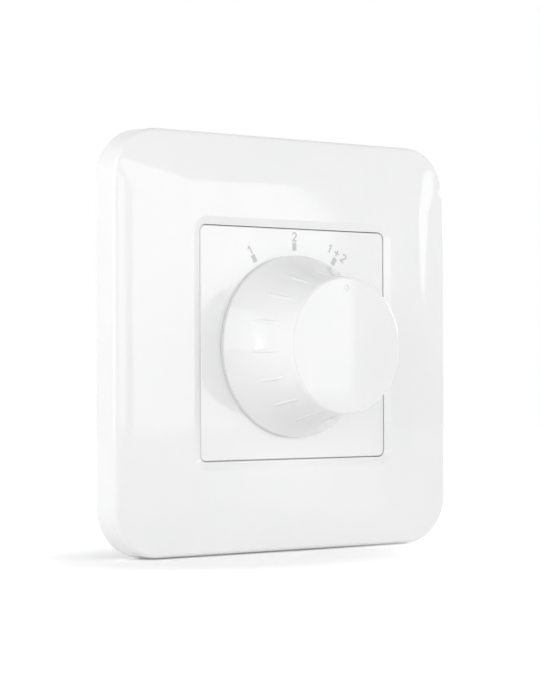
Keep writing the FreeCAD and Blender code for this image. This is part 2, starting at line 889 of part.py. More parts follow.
def blades(plane, poles_at):
    """The rotor's contact sectors. A tab closes speaker 1 in the first and last positions, and
    speaker 2 in the middle and last ones, while the common leaf stays on the ring."""
    front = plane - blade_thickness / 2
    back = plane + blade_thickness / 2
    inner = rotor_radius - blade_bite
    half_tab = tab_angle / 2
    solids = []
    for first in poles_at:
        start = first - 2 * position_angle - half_tab
        end = first + position_angle + half_tab
        blade = sector(inner, ring_outer, start, end, front, back)
        one = first + position_angle
        tab_one = sector(inner, tab_outer, one - half_tab, one + half_tab, front, back)
        two_end = first - position_angle + half_tab
        tab_two = sector(inner, tab_outer, start, two_end, front, back)
        solids.append(blade.multiFuse([tab_one, tab_two]).removeSplitter())
    return Part.makeCompound(solids)


def rotor(plane, poles_at):
    front = plane - rotor_thickness / 2
    back = plane + rotor_thickness / 2
    disc = rod(rotor_radius, front, back).cut(blades(plane, poles_at))
    return disc.cut(keyed_bar(running_gap, front, back))


def tie_screws():
    head_front = board_back + tie_washer_thickness
    head_back = head_front + tie_head_thickness
    screws = []
    for side in (-1, 1):
        x = side * tie_place
        screw = rod(tie_radius, tie_tip, head_front, x=x)
        screw = screw.fuse(rod(tie_head_radius, head_front, head_back, x=x))
        half_slot = tie_slot_width / 2
        slot_front = head_back - tie_slot_depth
        slot = block(x - 2 * tie_radius, x + 2 * tie_radius, slot_front, head_back, -half_slot, half_slot)
        screws.append(screw.cut(slot))
    return Part.makeCompound(screws)


def tie_washers():
    back = board_back + tie_washer_thickness
    washers = [
        tube(tie_washer_radius, tie_radius + tie_gap, board_back, back, x=side * tie_place)
        for side in (-1, 1)
    ]
    return Part.makeCompound(washers)


def pole_places():
    """The middle of each pole along a terminal row."""
    return [(index - (poles - 1) / 2) * pole_pitch for index in range(poles)]


# Each row is its centre height and the way its wire entries face, up or down.
TERMINAL_ROWS = {
    "speaker_one_terminal": (row_place, 1),
    "input_terminal": (0.0, -1),
    "speaker_two_terminal": (-row_place, -1),
}


def terminal_board():
    board = block(-board_half_x, board_half_x, board_front, board_back, -board_half_z, board_half_z)
    upright = [
        edge
        for edge in board.Edges
        if abs(edge.Vertexes[0].Y - edge.Vertexes[1].Y) > board_thickness / 2
    ]
    board = board.makeChamfer(board_chamfer, upright)
    holes = []
    for side in (-1, 1):
        holes.append(rod(tie_radius + tie_gap, board_front, board_back, x=side * tie_place))
    wire_hole = square_bar(wire_width + 2 * thread_gap, board_front, board_back, x=wire_circle)
    holes += [turned(wire_hole, angle) for angle in clip_angles(FRONT_POLES + REAR_POLES)]
    pin_hole = pin_width + 2 * thread_gap
    for row, _ in TERMINAL_ROWS.values():
        for x in pole_places():
            holes.append(square_bar(pin_hole, board_front, board_back, x=x, z=row))
    return board.cut(Part.makeCompound(holes))


def terminal(row, facing):
    """One moulded row: a wire entry, a screw well and a pin hole for each pole."""
    half = poles * pole_pitch / 2
    face = facing * terminal_depth / 2
    outline = [
        (-face, board_back),
        (face, board_back),
        (face, terminal_back - terminal_chamfer),
        (face - facing * terminal_chamfer, terminal_back),
        (-face, terminal_back),
    ]
    corners = [FreeCAD.Vector(-half, y, z) for z, y in outline]
    body = Part.Face(Part.makePolygon(corners + corners[:1]))
    body = body.extrude(FreeCAD.Vector(2 * half, 0, 0))
    entry_front = board_back + terminal_floor
    entry_back = entry_front + entry_height
    low, high = sorted((face, face - facing * entry_depth))
    cuts = []
    for x in pole_places():
        half_entry = entry_width / 2
        cuts.append(block(x - half_entry, x + half_entry, entry_front, entry_back, low, high))
        cuts.append(rod(well_radius, entry_back - entry_height / 2, terminal_back, x=x))
        cuts.append(square_bar(pin_width + 2 * thread_gap, board_back, entry_front, x=x))
    body = body.cut(Part.makeCompound(cuts[0:1]).multiFuse(cuts[1:]))
    body.translate(FreeCAD.Vector(0, 0, row))
    return body


def wire_clamps():
    """Brass cages in the wire entries, each with its solder pin through the board."""
    front = board_back + terminal_floor + clamp_gap
    back = front + entry_height - 2 * clamp_gap
    half = entry_width / 2 - clamp_gap
    half_long = clamp_length / 2
    cages = []
    for row, _ in TERMINAL_ROWS.values():
        for x in pole_places():
            cage = block(x - half, x + half, front, back, row - half_long, row + half_long)
            way = block(
                x - half + clamp_wall,
                x + half - clamp_wall,
                front + clamp_wall,
                back - clamp_wall,
                row - half_long,
                row + half_long,
            )
            hole_radius = terminal_screw_radius + thread_gap
            hole = octagon_bar(hole_radius, back - clamp_wall, back, x=x, z=row)
            pin = square_bar(pin_width, board_front - wire_stub, front, x=x, z=row)
            cages.append(cage.cut(way).cut(hole).fuse(pin))
    return Part.makeCompound(cages)


def terminal_screws():
    head_back = terminal_back - terminal_screw_sunk
    head_front = head_back - terminal_screw_head
    clamp_back = board_back + terminal_floor + entry_height - clamp_gap
    tip = clamp_back - clamp_wall - terminal_screw_bite
    screws = []
    for row, _ in TERMINAL_ROWS.values():
        for x in pole_places():
            screw = octagon_bar(terminal_screw_radius, tip, head_front, x=x, z=row)
            head = rod(terminal_screw_head_radius, head_front, head_back, x=x, z=row)
            screws.append(screw.fuse(head))
    return Part.makeCompound(screws)


def link_wires(plane, poles_at):
    """Straight square tinned wires from the solder tails through the board."""
    front = plane + wafer_thickness / 2 - wire_stub
    wire = square_bar(wire_width, front, board_back + wire_stub, x=wire_circle)
    return Part.makeCompound([turned(wire, angle) for angle in clip_angles(poles_at)])


def build():
    """Every piece by name, in its own place."""
    front_back = front_wafer_plane + wafer_thickness / 2
    rear_front = rear_wafer_plane - wafer_thickness / 2
    rear_back = rear_wafer_plane + wafer_thickness / 2
    switch = {
        "threaded_bush": threaded_bush(),
        "lock_washer": lock_washer(),
        "bush_nut": bush_nut(),
        "knob": knob(),
        "knob_spring": knob_spring(),
        "shaft": shaft(),
        "shaft_rings": shaft_rings(),
        "index_plate": index_plate(),
        "detent_housing": detent_housing(),
        "detent_balls": detent_balls(),
        "detent_springs": detent_springs(),
        "star_wheel": star_wheel(),
        "front_spacers": spacers(index_plate_thickness, front_wafer_plane - wafer_thickness / 2),
        "middle_spacers": spacers(front_back, rear_front),
        "rear_spacers": spacers(rear_back, board_front),
        "front_wafer": wafer(front_wafer_plane),
        "rear_wafer": wafer(rear_wafer_plane),
        "front_contacts": contacts(front_wafer_plane, FRONT_POLES),
        "rear_contacts": contacts(rear_wafer_plane, REAR_POLES),
        "front_rivets": rivets(front_wafer_plane, FRONT_POLES),
        "rear_rivets": rivets(rear_wafer_plane, REAR_POLES),
        "front_blades": blades(front_wafer_plane, FRONT_POLES),
        "rear_blades": blades(rear_wafer_plane, REAR_POLES),
        "front_rotor": rotor(front_wafer_plane, FRONT_POLES),
        "rear_rotor": rotor(rear_wafer_plane, REAR_POLES),
        "tie_screws": tie_screws(),
        "tie_washers": tie_washers(),
        "terminal_board": terminal_board(),
        "wire_clamps": wire_clamps(),
        "terminal_screws": terminal_screws(),
        "front_link_wires": link_wires(front_wafer_plane, FRONT_POLES),
        "rear_link_wires": link_wires(rear_wafer_plane, REAR_POLES),
    }
    for name, (row, facing) in TERMINAL_ROWS.items():
        switch[name] = terminal(row, facing)
    pieces = {name: centred(shape) for name, shape in switch.items()}
    pieces["outer_frame"] = outer_frame()
    pieces["insert_plate"] = insert_plate()
    pieces["mounting_strap"] = mounting_strap()
    return pieces


os.makedirs("parts", exist_ok=True)
for name, shape in build().items():
    shape.exportStep("parts/" + name + ".step")
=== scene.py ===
import json
import math

import bpy
from mathutils import Matrix, Vector


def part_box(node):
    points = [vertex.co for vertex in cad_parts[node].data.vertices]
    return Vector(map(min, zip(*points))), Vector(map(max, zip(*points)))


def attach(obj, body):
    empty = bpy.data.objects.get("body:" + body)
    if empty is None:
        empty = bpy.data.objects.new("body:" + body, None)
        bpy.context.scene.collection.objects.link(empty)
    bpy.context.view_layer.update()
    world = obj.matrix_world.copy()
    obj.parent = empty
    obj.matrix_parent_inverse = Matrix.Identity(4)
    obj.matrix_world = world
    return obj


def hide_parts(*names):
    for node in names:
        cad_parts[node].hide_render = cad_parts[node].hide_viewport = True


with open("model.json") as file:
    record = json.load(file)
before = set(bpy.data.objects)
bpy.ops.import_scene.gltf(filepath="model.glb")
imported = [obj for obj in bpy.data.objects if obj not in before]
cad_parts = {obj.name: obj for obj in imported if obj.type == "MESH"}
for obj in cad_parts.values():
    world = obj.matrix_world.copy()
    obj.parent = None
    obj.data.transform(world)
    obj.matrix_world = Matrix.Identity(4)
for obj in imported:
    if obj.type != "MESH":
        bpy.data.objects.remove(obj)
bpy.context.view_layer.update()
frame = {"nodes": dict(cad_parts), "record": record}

# Speaker selector switch on a pale floor. Metres, in the CAD frame: X runs right and Z runs up
# as one faces the plate, and Y runs into the wall.


MM = 0.001
NODES = frame["nodes"]
AXIS_Z = -0.55 * MM
EVEN = (1.0, 1.0, 1.0)


# Shader nodes


def new_material(name):
    material = bpy.data.materials.new(name)
    material.use_nodes = True
    return material, material.node_tree.nodes, material.node_tree.links


def place_node(nodes, links, stretch):
    """Object coordinates, stretched for a grain that runs one way."""
    where = nodes.new("ShaderNodeTexCoord")
    mapping = nodes.new("ShaderNodeMapping")
    mapping.inputs["Scale"].default_value = stretch
    links.new(where.outputs["Object"], mapping.inputs["Vector"])
    return mapping.outputs["Vector"]


def noise_node(nodes, links, place, size, detail=3.0):
    """Noise whose features are about size metres across."""
    noise = nodes.new("ShaderNodeTexNoise")
    noise.inputs["Scale"].default_value = 1.0 / size
    noise.inputs["Detail"].default_value = detail
    noise.inputs["Roughness"].default_value = 0.55
    links.new(place, noise.inputs["Vector"])
    return noise.outputs["Fac"]


def ramp_node(nodes, links, value, low, high, start=0.35, end=0.65):
    """A colour that goes from low to high while the value goes from start to end."""
    ramp = nodes.new("ShaderNodeValToRGB")
    ramp.color_ramp.elements[0].position = start
    ramp.color_ramp.elements[1].position = end
    ramp.color_ramp.elements[0].color = (*low, 1.0)
    ramp.color_ramp.elements[1].color = (*high, 1.0)
    links.new(value, ramp.inputs["Fac"])
    return ramp.outputs["Color"]


def range_node(nodes, links, value, low, high, start=0.3, end=0.7, curve="LINEAR"):
    """A number that goes from low to high while the value goes from start to end."""
    spread = nodes.new("ShaderNodeMapRange")
    spread.interpolation_type = curve
    spread.inputs["From Min"].default_value = start
    spread.inputs["From Max"].default_value = end
    spread.inputs["To Min"].default_value = low
    spread.inputs["To Max"].default_value = high
    links.new(value, spread.inputs["Value"])
    return spread.outputs["Result"]


def math_node(nodes, links, operation, first, second):
    """Arithmetic on one socket and either another socket or a plain number."""
    node = nodes.new("ShaderNodeMath")
    node.operation = operation
    links.new(first, node.inputs[0])
    if isinstance(second, float):
        node.inputs[1].default_value = second
    else:
        links.new(second, node.inputs[1])
    return node.outputs[0]


def add_relief(nodes, links, height, strength, depth):
    """Bumps on the surface, as deep as depth metres."""
    relief = nodes.new("ShaderNodeBump")
    relief.inputs["Strength"].default_value = strength
    relief.inputs["Distance"].default_value = depth
    links.new(height, relief.inputs["Height"])
    links.new(relief.outputs["Normal"], nodes["Principled BSDF"].inputs["Normal"])


def seen_node(nodes, links):
    """1 for rays from the camera, a reflection or a refraction, and 0 for the rest."""
    path = nodes.new("ShaderNodeLightPath")
    seen = path.outputs["Is Camera Ray"]
    for name in ("Is Glossy Ray", "Is Transmission Ray"):
        seen = math_node(nodes, links, "MAXIMUM", seen, path.outputs[name])
    return seen


# Materials


WEAR_START = 0.5
WEAR_END = 0.62
WEAVE_SCALE = 320.0
WEAVE_WANDER = 0.6
WEAVE_BUMP = 0.25
WEAVE_DEPTH = 0.02 * MM


def finish_material(
    name,
    low,
    high,
    rough,
    metallic=0.0,
    colour_size=4 * MM,
    grain_size=0.4 * MM,
    stretch=EVEN,
    bump=0.1,
    bump_depth=0.02 * MM,
    edges=None,
):
    """A surface with two tones, a grain that turns its gloss, and a fine relief.

    Where edges is a colour, the sharp edges are worn to it.
    """
    material, nodes, links = new_material(name)
    shader = nodes["Principled BSDF"]
    shader.inputs["Metallic"].default_value = metallic
    shader.inputs["IOR"].default_value = 1.5
    tone = noise_node(nodes, links, place_node(nodes, links, EVEN), colour_size)
    grain = noise_node(nodes, links, place_node(nodes, links, stretch), grain_size, detail=4.0)
    colour = ramp_node(nodes, links, tone, low, high)
    if edges is not None:
        wear = nodes.new("ShaderNodeNewGeometry").outputs["Pointiness"]
        mask = ramp_node(nodes, links, wear, (0, 0, 0), (1, 1, 1), WEAR_START, WEAR_END)
        mix = nodes.new("ShaderNodeMix")
        mix.data_type = "RGBA"
        links.new(mask, mix.inputs["Factor"])
        # A mix node keeps its two colours in inputs 6 and 7, and the mixed one in output 2.
        links.new(colour, mix.inputs[6])
        mix.inputs[7].default_value = (*edges, 1.0)
        colour = mix.outputs[2]
    links.new(colour, shader.inputs["Base Color"])
    links.new(range_node(nodes, links, grain, *rough), shader.inputs["Roughness"])
    add_relief(nodes, links, grain, bump, bump_depth)
    return material


def weave_material(name, low, high, rough):
    """Solder resist over glass cloth: a square weave shows faintly through it."""
    material, nodes, links = new_material(name)
    shader = nodes["Principled BSDF"]
    place = place_node(nodes, links, EVEN)
    waves = []
    for direction in ("X", "Z"):
        wave = nodes.new("ShaderNodeTexWave")
        wave.wave_type = "BANDS"
        wave.bands_direction = direction
        wave.inputs["Scale"].default_value = WEAVE_SCALE
        wave.inputs["Distortion"].default_value = WEAVE_WANDER
        links.new(place, wave.inputs["Vector"])
        waves.append(wave.outputs["Fac"])
    both = math_node(nodes, links, "ADD", waves[0], waves[1])
    weave = math_node(nodes, links, "MULTIPLY", both, 0.5)
    colour = ramp_node(nodes, links, weave, low, high, 0.1, 0.9)
    links.new(colour, shader.inputs["Base Color"])
    cloud = noise_node(nodes, links, place, 3 * MM)
    links.new(range_node(nodes, links, cloud, *rough), shader.inputs["Roughness"])
    add_relief(nodes, links, weave, WEAVE_BUMP, WEAVE_DEPTH)
    return material


MATERIALS = {
    "white_gloss": finish_material(
        "white_gloss", (0.885, 0.887, 0.888), (0.9, 0.9, 0.9), (0.035, 0.07),
        colour_size=14 * MM, grain_size=1.6 * MM, bump=0.03, bump_depth=0.03 * MM,
    ),
    "white_plastic": finish_material(
        "white_plastic", (0.76, 0.74, 0.68), (0.82, 0.8, 0.74), (0.35, 0.5), bump=0.15,
    ),
    "black_plastic": finish_material(
        "black_plastic", (0.022, 0.022, 0.024), (0.04, 0.04, 0.042), (0.38, 0.55),
        grain_size=0.25 * MM, bump=0.3, edges=(0.08, 0.08, 0.082),
    ),
    "phenolic": finish_material(
        "phenolic", (0.2, 0.085, 0.03), (0.34, 0.16, 0.07), (0.4, 0.6),
        colour_size=1.2 * MM, grain_size=0.3 * MM, stretch=(1.0, 6.0, 0.35), bump=0.3,
        edges=(0.42, 0.24, 0.12),
    ),
    "board": weave_material("board", (0.008, 0.075, 0.03), (0.018, 0.12, 0.05), (0.25, 0.4)),
    "terminal_green": finish_material(
        "terminal_green", (0.03, 0.26, 0.1), (0.045, 0.32, 0.13), (0.3, 0.45),
        grain_size=0.3 * MM, bump=0.2, edges=(0.1, 0.42, 0.2),
    ),
    "zinc_steel": finish_material(
        "zinc_steel", (0.55, 0.56, 0.56), (0.66, 0.67, 0.68), (0.26, 0.42), metallic=1.0,
        colour_size=5 * MM, grain_size=0.5 * MM, stretch=(1.0, 1.0, 7.0), bump=0.12,
        edges=(0.78, 0.79, 0.8),
    ),
    "spring_steel": finish_material(
        "spring_steel", (0.45, 0.45, 0.46), (0.56, 0.56, 0.57), (0.18, 0.3), metallic=1.0,
        grain_size=0.2 * MM, stretch=(8.0, 1.0, 1.0), bump=0.1,
    ),
    "die_cast": finish_material(
        "die_cast", (0.46, 0.46, 0.45), (0.6, 0.6, 0.59), (0.4, 0.58), metallic=1.0,
        colour_size=2 * MM, grain_size=0.25 * MM, bump=0.35,
    ),
    "nickel_brass": finish_material(
        "nickel_brass", (0.66, 0.63, 0.56), (0.74, 0.71, 0.64), (0.16, 0.28), metallic=1.0,
        grain_size=0.15 * MM, stretch=(1.0, 8.0, 1.0), bump=0.12,
    ),
    "bare_brass": finish_material(
        "bare_brass", (0.68, 0.47, 0.19), (0.8, 0.6, 0.3), (0.22, 0.36), metallic=1.0,
        colour_size=1.5 * MM, grain_size=0.2 * MM, bump=0.12,
    ),
    "silver_plate": finish_material(
        "silver_plate", (0.72, 0.7, 0.64), (0.86, 0.85, 0.82), (0.2, 0.36), metallic=1.0,
        colour_size=1.4 * MM, grain_size=0.2 * MM, bump=0.1,
    ),
    "tinned_brass": finish_material(
        "tinned_brass", (0.66, 0.65, 0.62), (0.78, 0.77, 0.75), (0.24, 0.4), metallic=1.0,
        colour_size=1.0 * MM, grain_size=0.3 * MM, bump=0.2,
    ),
    "print": finish_material(
        "print", (0.55, 0.555, 0.56), (0.6, 0.605, 0.61), (0.3, 0.4),
        colour_size=0.6 * MM, grain_size=0.1 * MM, bump=0.1, bump_depth=0.004 * MM,
    ),
    "resist_line": finish_material(
        "resist_line", (0.02, 0.15, 0.06), (0.03, 0.19, 0.08), (0.22, 0.34),
        colour_size=1.0 * MM, grain_size=0.3 * MM, bump=0.15,
    ),
}


def paint(piece, material):
    piece.data.materials.clear()
    piece.data.materials.append(material)


for part in frame["record"]["subparts"]:
    paint(NODES[part["node"]], MATERIALS[part["material_slot"]])


# Mesh helpers


SHARP_ANGLE = math.radians(40)


def ring_points(profile, centre, sides):
    """The points of a profile of (radius, y) pairs turned about a line along Y through centre."""
    points = []
    for radius, y in profile:
        for side in range(sides):
            angle = 2 * math.pi * side / sides
            points.append((
                centre[0] + radius * math.cos(angle), y, centre[1] + radius * math.sin(angle)
            ))
    return points


class Shape:
    """Points and faces gathered from several closed solids."""

    def __init__(self):
        self.points = []
        self.faces = []

    def add(self, points, faces):
        first = len(self.points)
        self.points += [Vector(point) for point in points]
        self.faces += [[first + index for index in face] for face in faces]

    def prism(self, outline, low, high):
        """A flat outline of (x, z) pairs, run from one Y to another."""
        count = len(outline)
        points = [(x, low, z) for x, z in outline] + [(x, high, z) for x, z in outline]
        faces = [list(range(count)), list(range(2 * count - 1, count - 1, -1))]
        for index in range(count):
            following = (index + 1) % count
            faces.append([following, index, index + count, following + count])
        self.add(points, faces)

    def lathe(self, profile, centre, sides=20):
        """A turned profile, closed by a flat face at each end."""
        faces = []
        for ring in range(len(profile) - 1):
            for side in range(sides):
                following = (side + 1) % sides
                faces.append([
                    ring * sides + side,
                    ring * sides + following,
                    (ring + 1) * sides + following,
                    (ring + 1) * sides + side,
                ])
        faces.append(list(range(sides))[::-1])
        faces.append([(len(profile) - 1) * sides + side for side in range(sides)])
        self.add(ring_points(profile, centre, sides), faces)

    def hoop(self, profile, centre, sides):
        """A turned profile whose last point joins its first, with a hole through the middle."""
        faces = []
        for ring in range(len(profile)):
            next_ring = (ring + 1) % len(profile)
            for side in range(sides):
                following = (side + 1) % sides
                faces.append([
                    ring * sides + side,
                    next_ring * sides + side,
                    next_ring * sides + following,
                    ring * sides + following,
                ])
        self.add(ring_points(profile, centre, sides), faces)


def mesh_piece(name, shape, body, slot, material=None, smooth=False):
    """A new mesh, in metres, that rides on a body and takes a slot's finish."""
    mesh = bpy.data.meshes.new(name)
    mesh.from_pydata([tuple(point) for point in shape.points], [], shape.faces)
    mesh.validate()
    piece = bpy.data.objects.new(name, mesh)
    bpy.context.scene.collection.objects.link(piece)
    if smooth:
        mesh.shade_smooth()
        mesh.set_sharp_from_angle(angle=SHARP_ANGLE)
    paint(piece, MATERIALS[material or slot])
    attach(piece, body)
    return piece


def around(angle, radius):
    """A place (x, z) clockwise from straight up, about the knob's axis."""
    turn = math.radians(angle)
    return radius * math.sin(turn), AXIS_Z + radius * math.cos(turn)


def directions(angle):
    """The directions (x, z) to the right and outwards for a mark at that angle."""
    turn = math.radians(angle)
    return Vector((math.cos(turn), -math.sin(turn))), Vector((math.sin(turn), math.cos(turn)))


def pen_quads(line, width):
    """A line of points drawn with a square pen, as four corners for each step of the line."""
    left, right = [], []
    for index, point in enumerate(line):
        before = Vector(point) - Vector(line[max(index - 1, 0)])
        after = Vector(line[min(index + 1, len(line) - 1)]) - Vector(point)
        before = before.normalized() if before.length > 0 else after.normalized()
        after = after.normalized() if after.length > 0 else before
        normal_a = Vector((-before.y, before.x))
        normal_b = Vector((-after.y, after.x))
        middle = (normal_a + normal_b).normalized()
        # The pen's corner is held to twice its half width where the line turns sharply.
        reach = width / 2 / max(middle.dot(normal_a), 0.5)
        left.append(Vector(point) + middle * reach)
        right.append(Vector(point) - middle * reach)
    return [
        [left[index], left[index + 1], right[index + 1], right[index]]
        for index in range(len(line) - 1)
    ]


# Legend, printed on the insert: three bars and the numbers 1, 2 and 1+2


INSERT_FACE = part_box("insert_plate")[0][1]
PRINT_FRONT = INSERT_FACE - 0.012 * MM
PRINT_BACK = INSERT_FACE + 0.02 * MM
STROKE_STEP = 0.002 * MM
CAP = 1.7 * MM
STROKE = 0.34 * MM
NUMBER_RADIUS = 21.5 * MM
BAR_RADIUS = 19.6 * MM
BAR_HALF_WIDTH = 0.38 * MM
BAR_HALF_HEIGHT = 0.68 * MM
BAR_ROUND = 0.1 * MM


def two_line():
    """The figure 2: an open bowl, a diagonal and a foot."""
    line = []
    for step in range(13):
        angle = math.radians(165 - step * 17)
        line.append((0.27 * math.cos(angle), 0.72 + 0.26 * math.sin(angle)))
    line += [(0.1, 0.42), (-0.12, 0.2), (-0.27, 0.06)]
    return line


# Each character is a list of lines, in units of the cap height: x from its middle, y from its foot.
GLYPHS = {
    "1": [[(0.06, 0.0), (0.06, 1.0)], [(0.06, 0.93), (-0.08, 0.8), (-0.2, 0.75)]],
    "2": [two_line(), [(-0.31, 0.06), (0.31, 0.06)]],
    "+": [[(-0.36, 0.46), (0.36, 0.46)], [(0.0, 0.1), (0.0, 0.82)]],
}


def glyph(character, angle, radius):
    """One character, upright along the radius at that angle."""
    shape = Shape()
    middle = Vector(around(angle, radius))
    along, up = directions(angle)
    for number, line in enumerate(GLYPHS[character]):
        # Each line is a little thicker than the one before, so that no two faces coincide.
        back = PRINT_BACK + number * STROKE_STEP
        front = PRINT_FRONT - number * STROKE_STEP
        for quad in pen_quads(line, STROKE / CAP):
            flat = [middle + along * (p.x * CAP) + up * ((p.y - 0.5) * CAP) for p in quad]
            shape.prism([(p.x, p.y) for p in flat], front, back)
    return shape


def bar(angle):
    """A bar with round corners, upright along the radius at that angle."""
    shape = Shape()
    middle = Vector(around(angle, BAR_RADIUS))
    along, up = directions(angle)
    outline = []
    for corner_x, corner_y, start in ((1, 1, 0), (-1, 1, 90), (-1, -1, 180), (1, -1, 270)):
        for step in range(4):
            corner = math.radians(start + 30 * step)
            across = corner_x * BAR_HALF_WIDTH + BAR_ROUND * math.cos(corner)
            rise = corner_y * BAR_HALF_HEIGHT + BAR_ROUND * math.sin(corner)
            place = middle + along * across + up * rise
            outline.append((place.x, place.y))
    shape.prism(outline, PRINT_FRONT, PRINT_BACK)
    return shape


def legend():
    characters = [
        ("number_one", "1", -30.0),
        ("number_two", "2", 0.0),
        ("both_one", "1", 24.3),
        ("both_plus", "+", 29.6),
        ("both_two", "2", 34.6),
    ]
    for name, character, angle in characters:
        shape = glyph(character, angle, NUMBER_RADIUS)
        mesh_piece(name, shape, "plate", "white_gloss", "print")
    for name, angle in (("bar_one", -30.0), ("bar_two", 0.0), ("bar_both", 30.0)):
        mesh_piece(name, bar(angle), "plate", "white_gloss", "print")


legend()


# A thin lip under the knob's rim, which closes most of its gap to the insert


LIP_WIDTH = 0.9 * MM
LIP_INSET = 0.02 * MM
LIP_OVERLAP = 0.02 * MM
LIP_SIDE = 0.37 * MM
LIP_DEPTH = 0.43 * MM
LIP_CHAMFER = 0.1 * MM
LIP_FACETS = 128


def rim_lip():
    knob_low, knob_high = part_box("knob")
    base = knob_high.y
    rim = (knob_high.x - knob_low.x) / 2
    ring = Shape()
    profile = [
        (rim - LIP_WIDTH, base - LIP_OVERLAP),
        (rim - LIP_INSET, base - LIP_OVERLAP),
        (rim - LIP_INSET, base + LIP_SIDE),
        (rim - LIP_CHAMFER, base + LIP_DEPTH),
        (rim - LIP_WIDTH, base + LIP_DEPTH),
    ]
    ring.hoop(profile, (0.0, AXIS_Z), LIP_FACETS)
    mesh_piece("rim_lip", ring, "selector", "white_gloss", smooth=True)


rim_lip()


# Solder, resist lines and screw heads on the board behind


def node_islands(node):
    """The box of each loose solid in a node, from its mesh, by height and then from the left."""
    mesh = NODES[node].data
    owner = list(range(len(mesh.vertices)))

    def root(index):
        while owner[index] != index:
            owner[index] = owner[owner[index]]
            index = owner[index]
        return index

    places = {}
    for vertex in mesh.vertices:
        key = tuple(round(value, 7) for value in vertex.co)
        if key in places:
            owner[root(vertex.index)] = root(places[key])
        else:
            places[key] = vertex.index
    for edge in mesh.edges:
        a, b = root(edge.vertices[0]), root(edge.vertices[1])
        if a != b:
            owner[a] = b
    boxes = {}
    for vertex in mesh.vertices:
        key = root(vertex.index)
        low, high = boxes.get(key, (vertex.co.copy(), vertex.co.copy()))
        low = Vector(min(a, b) for a, b in zip(low, vertex.co))
        high = Vector(max(a, b) for a, b in zip(high, vertex.co))
        boxes[key] = (low, high)
    return sorted(boxes.values(), key=lambda pair: (round(pair[0].z, 5), round(pair[0].x, 5)))


def island_places(node):
    """The middle (x, z) of each loose solid in a node."""
    middles = [(low + high) / 2 for low, high in node_islands(node)]
    return [(middle.x, middle.z) for middle in middles]


board_low, board_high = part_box("terminal_board")
BOARD_FRONT, BOARD_BACK = board_low.y, board_high.y

# Beads of solder in millimetres: radius, then Y from the board's face or the contact's tail.
WIRE_BEAD = [
    (1.25, -0.02), (1.25, 0.04), (1.0, 0.09), (0.78, 0.22), (0.65, 0.42), (0.58, 0.62), (0.35, 0.72),
]
PIN_BEAD = [
    (0.35, -0.76), (0.6, -0.66), (0.7, -0.42), (0.85, -0.2), (1.1, -0.09), (1.35, -0.04), (1.35, 0.02),
]
TAIL_BEAD = [(0.95, 0.3), (0.92, 0.42), (0.75, 0.62), (0.6, 0.85), (0.57, 1.0)]
TAIL_RISE = 0.7 * MM

TRACK_WIDTH = 0.9 * MM
TRACK_RISE = 0.035 * MM
TRACK_SINK = 0.02 * MM
TRACK_BEND = 0.25

HEAD_HEIGHT = 1.8 * MM
HEAD_RADIUS = 1.75 * MM
HEAD_CHAMFER = 0.1 * MM
HEAD_CHAMFER_RISE = 0.12 * MM
HEAD_ROLL = 0.15 * MM
HEAD_ROLL_SCALE = 0.93
NECK_RADIUS = 0.9 * MM
NECK_STEP = 0.001 * MM
SLOT_DEPTH = 0.85 * MM
HALF_SLOT = 0.28 * MM
THREAD_PITCH = 0.4 * MM
THREAD_CREST = 0.98 * MM
THREAD_ROOT = 0.84 * MM
THREAD_CREST_RISE = 0.12 * MM
THREAD_ROOT_RISE = 0.3 * MM


def bead_piece(name, bead, base, places):
    """A concave bead of solder at each place."""
    beads = Shape()
    profile = [(radius * MM, base + rise * MM) for radius, rise in bead]
    for place in places:
        beads.lathe(profile, place)
    mesh_piece(name, beads, "plate", "tinned_brass", smooth=True)


def tail_beads(name, wires):
    """Solder where each of those wires passes its contact's tail."""
    wire_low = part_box(wires)[0].y
    bead_piece(name, TAIL_BEAD, wire_low + TAIL_RISE, island_places(wires))


def resist_lines(wire_places, pin_places):
    """Copper tracks under the resist, one from each wire to its own terminal."""
    tracks = Shape()
    free = list(pin_places)
    for start in sorted(wire_places, key=lambda place: (-place[1], place[0])):
        end = min(free, key=lambda pin: (abs(pin[1] - start[1]), abs(pin[0] - start[0])))
        free.remove(end)
        bend = (end[0], start[1] + (end[1] - start[1]) * TRACK_BEND)
        for quad in pen_quads([start, bend, end], TRACK_WIDTH):
            outline = [(p.x, p.y) for p in quad]
            tracks.prism(outline, BOARD_FRONT - TRACK_RISE, BOARD_FRONT + TRACK_SINK)
    mesh_piece("resist_lines", tracks, "plate", "board", "resist_line")


def screw_profile(tip, head_front, head_back):
    """A screw's thread, neck and head up to the floor of its slot."""
    profile = [(THREAD_CREST, tip)]
    for turn in range(int((head_front - tip) / THREAD_PITCH)):
        start = tip + turn * THREAD_PITCH
        profile += [
            (THREAD_CREST, start + THREAD_CREST_RISE), (THREAD_ROOT, start + THREAD_ROOT_RISE),
        ]
    profile += [
        (NECK_RADIUS, head_front),
        (HEAD_RADIUS - HEAD_CHAMFER, head_front + NECK_STEP),
        (HEAD_RADIUS, head_front + HEAD_CHAMFER_RISE),
        (HEAD_RADIUS, head_back - SLOT_DEPTH),
    ]
    return profile


def slot_side(side):
    """The outline of the head to one side of its slot, about the screw's own line."""
    limit = math.acos(HALF_SLOT / HEAD_RADIUS)
    outline = []
    for step in range(13):
        angle = -limit + 2 * limit * step / 12
        outline.append((
            side * HEAD_RADIUS * math.cos(angle), side * HEAD_RADIUS * math.sin(angle)
        ))
    return outline


